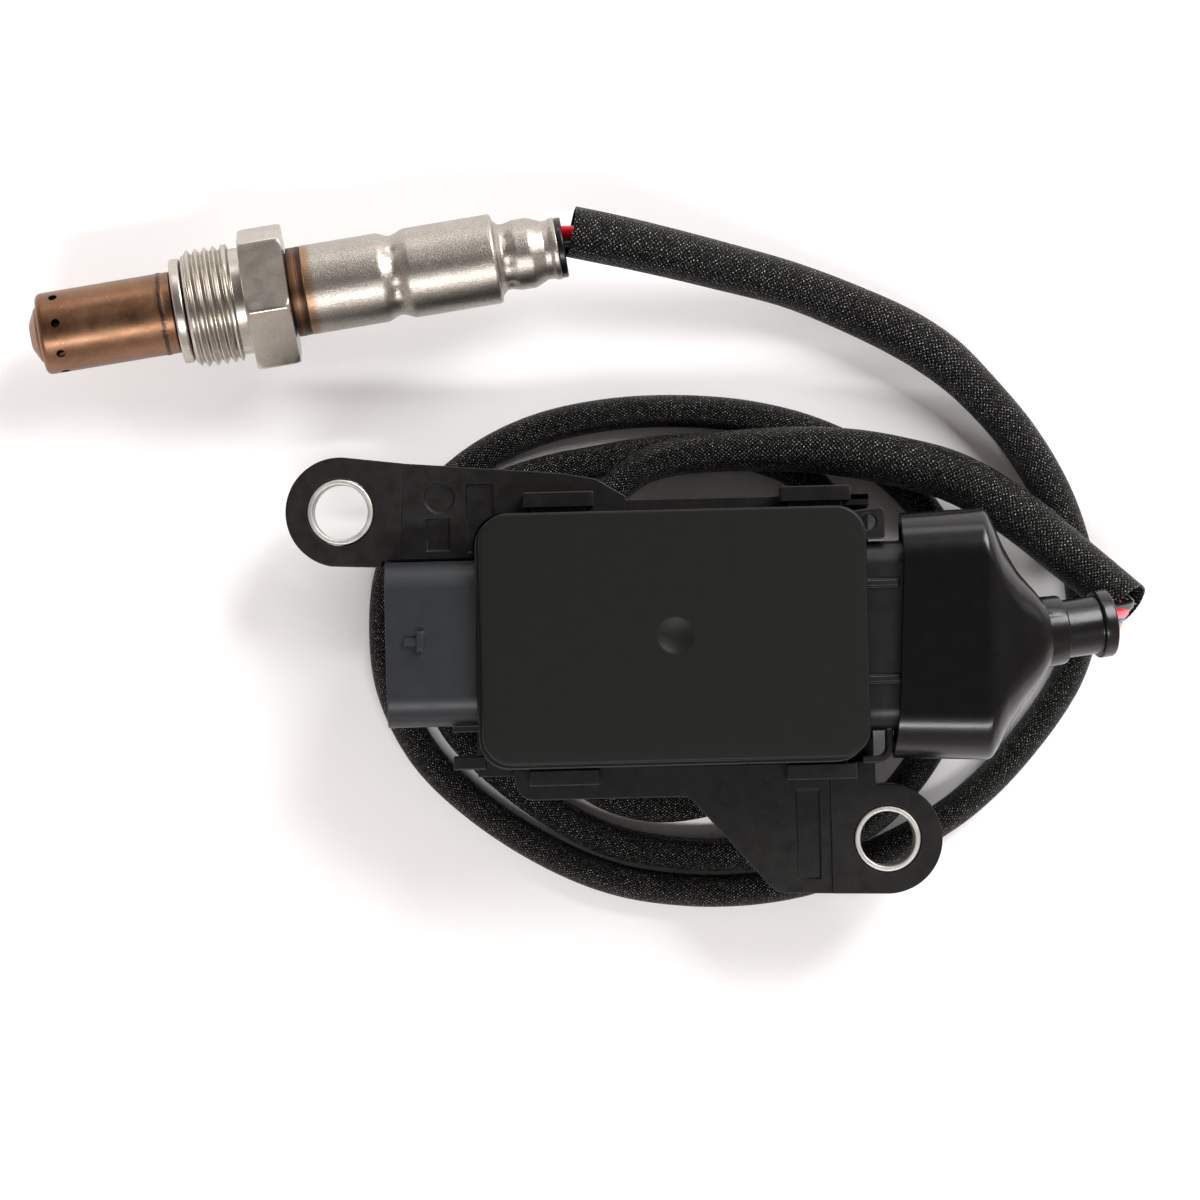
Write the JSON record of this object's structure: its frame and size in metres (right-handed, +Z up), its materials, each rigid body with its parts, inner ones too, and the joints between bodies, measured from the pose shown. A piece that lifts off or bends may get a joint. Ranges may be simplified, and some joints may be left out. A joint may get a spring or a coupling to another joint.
{
  "type": "nitrogen oxide sensor",
  "caption": "Exhaust gas sensor: a steel probe with a perforated protection tube and threaded hexagon screw, joined by a coiled braided cable to a flat control unit in an eared bracket.",
  "frame": {"origin": "centre of the bounding box of everything but the cable, on the floor", "axes": "+Z up; the probe lies at the upper left and points to -X, the control unit lies flat with its plug socket towards -X and its rubber boot towards +X, +Y is the side of the probe"},
  "size_m": [0.1896, 0.1182, 0.035],
  "materials": {
    "black_wire": "extruded insulation",
    "blue_wire": "extruded insulation",
    "boot_rubber": "smooth, soft sheen",
    "bracket_plastic": "matte moulded, fine grain",
    "braid": "woven glass and polymer sleeve",
    "bushing_steel": "turned, satin",
    "capacitor_can": "drawn can",
    "ceramic": "unglazed",
    "chip_plastic": "moulded package",
    "circuit_board": "solder mask",
    "grommet_rubber": "smooth moulded",
    "heated_steel": "bronze-brown heat tint, satin",
    "housing_plastic": "matte moulded, fine grain",
    "lid_plastic": "matte moulded, fine grain",
    "orange_wire": "extruded insulation",
    "pressed_powder": "pressed powder, matte",
    "red_wire": "extruded insulation",
    "shell_steel": "heat-tinted collar, satin",
    "spring_metal": "nickel spring wire",
    "stainless_steel": "drawn, satin",
    "tinned_brass": "tinned",
    "tube_rubber": "smooth, soft sheen",
    "white_wire": "extruded insulation",
    "zinc_steel": "satin nickel-like plating"
  },
  "bodies": {
    "sensor": {"boot": "boot_rubber", "bracket": "bracket_plastic", "braided_sleeve": "braid", "capacitor_1": "capacitor_can", "capacitor_2": "capacitor_can", "circuit_board": "circuit_board", "contact_holder": "ceramic", "contact_spring_1": "spring_metal", "contact_spring_2": "spring_metal", "contact_spring_3": "spring_metal", "contact_spring_4": "spring_metal", "contact_spring_5": "spring_metal", "driver_chip": "chip_plastic", "front_ceramic_bush": "ceramic", "housing": "housing_plastic", "inner_protection_tube": "heated_steel", "left_bushing": "bushing_steel", "lid": "lid_plastic", "outer_protection_tube": "heated_steel", "plug_pin_1": "tinned_brass", "plug_pin_2": "tinned_brass", "plug_pin_3": "tinned_brass", "plug_pin_4": "tinned_brass", "plug_pin_5": "tinned_brass", "powder_seal": "pressed_powder", "power_chip": "chip_plastic", "probe_wire_1": "red_wire", "probe_wire_2": "orange_wire", "probe_wire_3": "black_wire", "probe_wire_4": "blue_wire", "probe_wire_5": "white_wire", "processor": "chip_plastic", "rear_ceramic_bush": "ceramic", "rear_grommet": "grommet_rubber", "rear_sleeve": "stainless_steel", "right_bushing": "bushing_steel", "sealing_ring": "zinc_steel", "sensor_element": "ceramic", "sensor_shell": "shell_steel", "tube_grommet": "tube_rubber", "unit_wire_1": "red_wire", "unit_wire_2": "orange_wire", "unit_wire_3": "black_wire", "unit_wire_4": "blue_wire", "unit_wire_5": "white_wire"},
    "screw": {"gland_nut": "zinc_steel"}
  },
  "joints": [
    {"name": "screw_turn", "type": "hinge", "parent": "sensor", "child": "screw", "pos_m": [-0.05577, 0.04255, 0.01236], "axis": [0.9863, 0.165, 0], "continuous": true}
  ]
}
